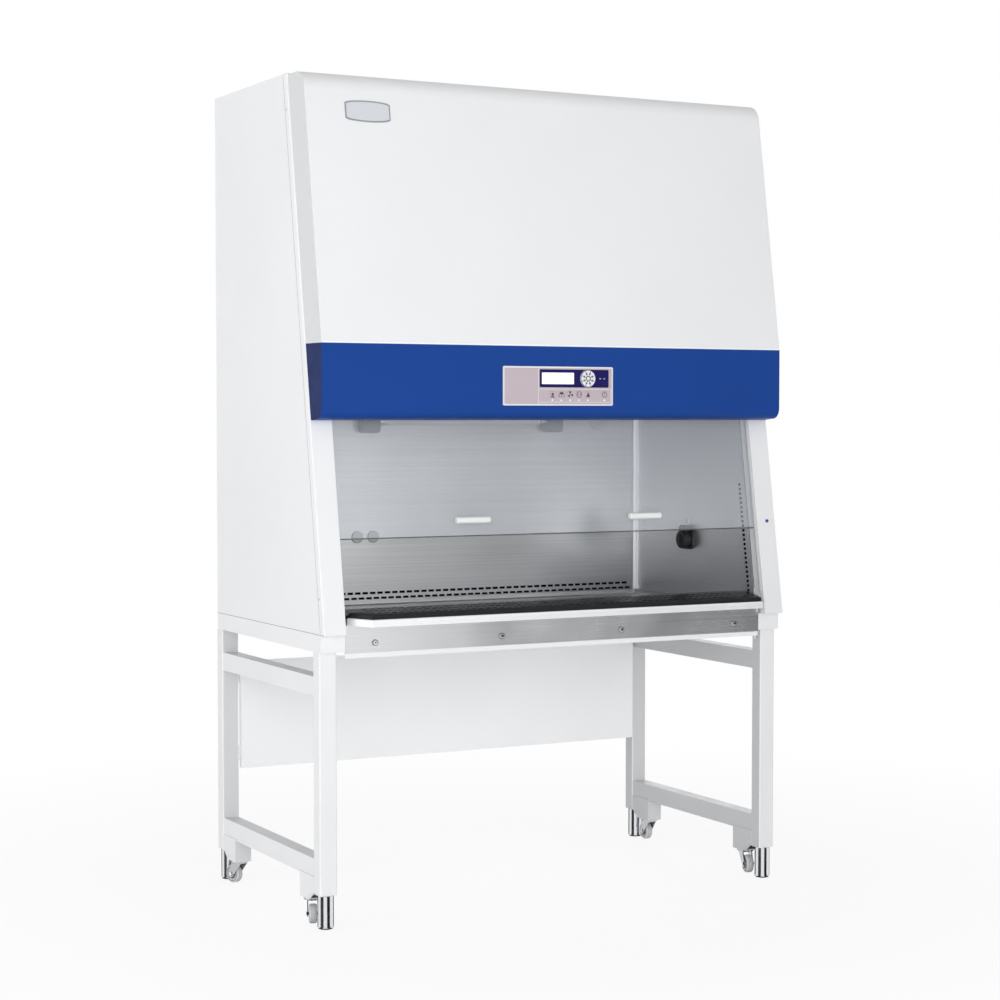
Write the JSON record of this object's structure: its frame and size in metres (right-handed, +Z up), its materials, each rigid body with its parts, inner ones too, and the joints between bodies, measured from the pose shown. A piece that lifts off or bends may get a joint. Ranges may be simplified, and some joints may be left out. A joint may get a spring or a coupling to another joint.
{
  "type": "biosafety cabinet",
  "caption": "Biological safety cabinet on a wheeled stand, with a leaning sliding glass sash, steel work chamber, arm rest and control panel.",
  "frame": {"origin": "on the floor under the middle of the footprint", "axes": "+Z up; the person works from -Y, facing +Y; +X to their right"},
  "size_m": [1.34, 0.79, 2.1],
  "materials": {
    "white_paint": "satin powder coat",
    "blue_paint": "satin blue",
    "plate_silver": "fine satin",
    "window_navy": "gloss",
    "key_grey": "soft",
    "key_power": "soft",
    "pad_grey": "soft",
    "button_steel": "polished",
    "liner_steel": "brushed",
    "arm_rubber": "matt",
    "sash_glass": "clear",
    "handle_white": "satin",
    "clamp_steel": "satin",
    "shaft_steel": "turned",
    "bright_screws": "polished",
    "foot_chrome": "polished",
    "fork_steel": "bright zinc",
    "wheel_grey": "matt",
    "socket_black": "moulded",
    "plug_grey": "satin",
    "lamp_holder": "satin",
    "lamp_glass": "frosted tube",
    "filter_paper": "pleated",
    "blower_zinc": "galvanised",
    "impeller_alu": "cast",
    "motor_dark": "satin",
    "inlet_black": "moulded"
  },
  "bodies": {
    "cabinet": {"arm_rest": "arm_rubber", "back_panel": "white_paint", "base_frame": "white_paint", "blower_box": "blower_zinc", "blower_motor": "motor_dark", "ceiling_diffuser": "liner_steel", "control_band": "blue_paint", "control_plate": "plate_silver", "display_window": "window_navy", "exhaust_filter": "filter_paper", "front_cover": "white_paint", "front_grille": "liner_steel", "front_pillar_left": "white_paint", "front_pillar_right": "white_paint", "inner_wall_left": "liner_steel", "inner_wall_right": "liner_steel", "lamp_sockets": "lamp_holder", "lamp_tubes": "lamp_glass", "power_inlet": "inlet_black", "rear_wall": "liner_steel", "screws": "bright_screws", "side_panel_left": "white_paint", "side_panel_right": "white_paint", "sill_panel": "liner_steel", "socket_body": "socket_black", "stand_back_panel": "white_paint", "stand_side_left": "white_paint", "stand_side_right": "white_paint", "supply_filter": "filter_paper", "top_panel": "white_paint", "wall_plugs": "plug_grey", "work_surface": "liner_steel"},
    "sash": {"sash_glass": "sash_glass", "sash_handles": "handle_white", "sash_clamp": "clamp_steel"},
    "balancer": {"sash_balancer": "shaft_steel"},
    "impeller": {"blower_impeller": "impeller_alu"},
    "menu_pad": {"menu_pad": "pad_grey"},
    "pillar_button": {"pillar_button": "button_steel"},
    "socket_lid": {"socket_lid": "socket_black"},
    "function_key_1": {"function_key_1": "key_grey"},
    "function_key_2": {"function_key_2": "key_grey"},
    "function_key_3": {"function_key_3": "key_grey"},
    "function_key_4": {"function_key_4": "key_grey"},
    "function_key_5": {"function_key_5": "key_grey"},
    "power_key": {"power_key": "key_power"},
    "foot_front_left": {"levelling_foot_front_left": "foot_chrome"},
    "caster_front_left": {"caster_fork_front_left": "fork_steel"},
    "wheel_front_left": {"caster_wheel_front_left": "wheel_grey"},
    "foot_front_right": {"levelling_foot_front_right": "foot_chrome"},
    "caster_front_right": {"caster_fork_front_right": "fork_steel"},
    "wheel_front_right": {"caster_wheel_front_right": "wheel_grey"},
    "foot_rear_left": {"levelling_foot_rear_left": "foot_chrome"},
    "caster_rear_left": {"caster_fork_rear_left": "fork_steel"},
    "wheel_rear_left": {"caster_wheel_rear_left": "wheel_grey"},
    "foot_rear_right": {"levelling_foot_rear_right": "foot_chrome"},
    "caster_rear_right": {"caster_fork_rear_right": "fork_steel"},
    "wheel_rear_right": {"caster_wheel_rear_right": "wheel_grey"}
  },
  "joints": [
    {"name": "sash_slide", "type": "slide", "parent": "cabinet", "child": "sash", "axis": [0, 0.1607, 0.987], "range_m": [-0.176, 0.225]},
    {"name": "balancer_spin", "type": "hinge", "parent": "cabinet", "child": "balancer", "pos_m": [0, -0.11983, 1.904], "axis": [1, 0, 0], "range_deg": [-325, 255]},
    {"name": "blower_spin", "type": "hinge", "parent": "cabinet", "child": "impeller", "pos_m": [0, 0.1305, 1.72875], "axis": [0, 1, 0], "continuous": true},
    {"name": "menu_pad_press", "type": "slide", "parent": "cabinet", "child": "menu_pad", "axis": [0, 1, 0], "range_m": [0, 0.0008], "stiffness_N_per_m": 400, "springref_m": -0.0005},
    {"name": "function_key_1_press", "type": "slide", "parent": "cabinet", "child": "function_key_1", "axis": [0, 1, 0], "range_m": [0, 0.0008], "stiffness_N_per_m": 400, "springref_m": -0.0005},
    {"name": "function_key_2_press", "type": "slide", "parent": "cabinet", "child": "function_key_2", "axis": [0, 1, 0], "range_m": [0, 0.0008], "stiffness_N_per_m": 400, "springref_m": -0.0005},
    {"name": "function_key_3_press", "type": "slide", "parent": "cabinet", "child": "function_key_3", "axis": [0, 1, 0], "range_m": [0, 0.0008], "stiffness_N_per_m": 400, "springref_m": -0.0005},
    {"name": "function_key_4_press", "type": "slide", "parent": "cabinet", "child": "function_key_4", "axis": [0, 1, 0], "range_m": [0, 0.0008], "stiffness_N_per_m": 400, "springref_m": -0.0005},
    {"name": "function_key_5_press", "type": "slide", "parent": "cabinet", "child": "function_key_5", "axis": [0, 1, 0], "range_m": [0, 0.0008], "stiffness_N_per_m": 400, "springref_m": -0.0005},
    {"name": "power_key_press", "type": "slide", "parent": "cabinet", "child": "power_key", "axis": [0, 1, 0], "range_m": [0, 0.0008], "stiffness_N_per_m": 400, "springref_m": -0.0005},
    {"name": "pillar_button_press", "type": "slide", "parent": "cabinet", "child": "pillar_button", "axis": [0, 0.987, -0.1607], "range_m": [0, 0.0015], "stiffness_N_per_m": 400, "springref_m": -0.0005},
    {"name": "socket_lid_hinge", "type": "hinge", "parent": "cabinet", "child": "socket_lid", "pos_m": [0.5947, 0.036, 0.94], "axis": [0, 1, 0], "range_deg": [0, 110]},
    {"name": "foot_front_left_screw", "type": "slide", "parent": "cabinet", "child": "foot_front_left", "axis": [0, 0, 1], "range_m": [-0.03, 0]},
    {"name": "caster_front_left_swivel", "type": "hinge", "parent": "cabinet", "child": "caster_front_left", "pos_m": [-0.645, -0.206, 0.064], "axis": [0, 0, 1], "continuous": true},
    {"name": "wheel_front_left_roll", "type": "hinge", "parent": "caster_front_left", "child": "wheel_front_left", "pos_m": [-0.65249, -0.22454, 0.026], "axis": [-0.9272, 0.3746, 0], "continuous": true},
    {"name": "foot_front_right_screw", "type": "slide", "parent": "cabinet", "child": "foot_front_right", "axis": [0, 0, 1], "range_m": [-0.03, 0]},
    {"name": "caster_front_right_swivel", "type": "hinge", "parent": "cabinet", "child": "caster_front_right", "pos_m": [0.645, -0.206, 0.064], "axis": [0, 0, 1], "continuous": true},
    {"name": "wheel_front_right_roll", "type": "hinge", "parent": "caster_front_right", "child": "wheel_front_right", "pos_m": [0.64016, -0.22541, 0.026], "axis": [-0.9703, 0.2419, 0], "continuous": true},
    {"name": "foot_rear_left_screw", "type": "slide", "parent": "cabinet", "child": "foot_rear_left", "axis": [0, 0, 1], "range_m": [-0.03, 0]},
    {"name": "caster_rear_left_swivel", "type": "hinge", "parent": "cabinet", "child": "caster_rear_left", "pos_m": [-0.645, 0.295, 0.064], "axis": [0, 0, 1], "continuous": true},
    {"name": "wheel_rear_left_roll", "type": "hinge", "parent": "caster_rear_left", "child": "wheel_rear_left", "pos_m": [-0.65282, 0.31341, 0.026], "axis": [0.9205, 0.3907, 0], "continuous": true},
    {"name": "foot_rear_right_screw", "type": "slide", "parent": "cabinet", "child": "foot_rear_right", "axis": [0, 0, 1], "range_m": [-0.03, 0]},
    {"name": "caster_rear_right_swivel", "type": "hinge", "parent": "cabinet", "child": "caster_rear_right", "pos_m": [0.645, 0.295, 0.064], "axis": [0, 0, 1], "continuous": true},
    {"name": "wheel_rear_right_roll", "type": "hinge", "parent": "caster_rear_right", "child": "wheel_rear_right", "pos_m": [0.64605, 0.31497, 0.026], "axis": [0.9986, -0.0523, 0], "continuous": true}
  ],
  "couplings": [
    {"joint": "balancer_spin", "follows": "sash_slide", "rad_per_m": -25}
  ]
}
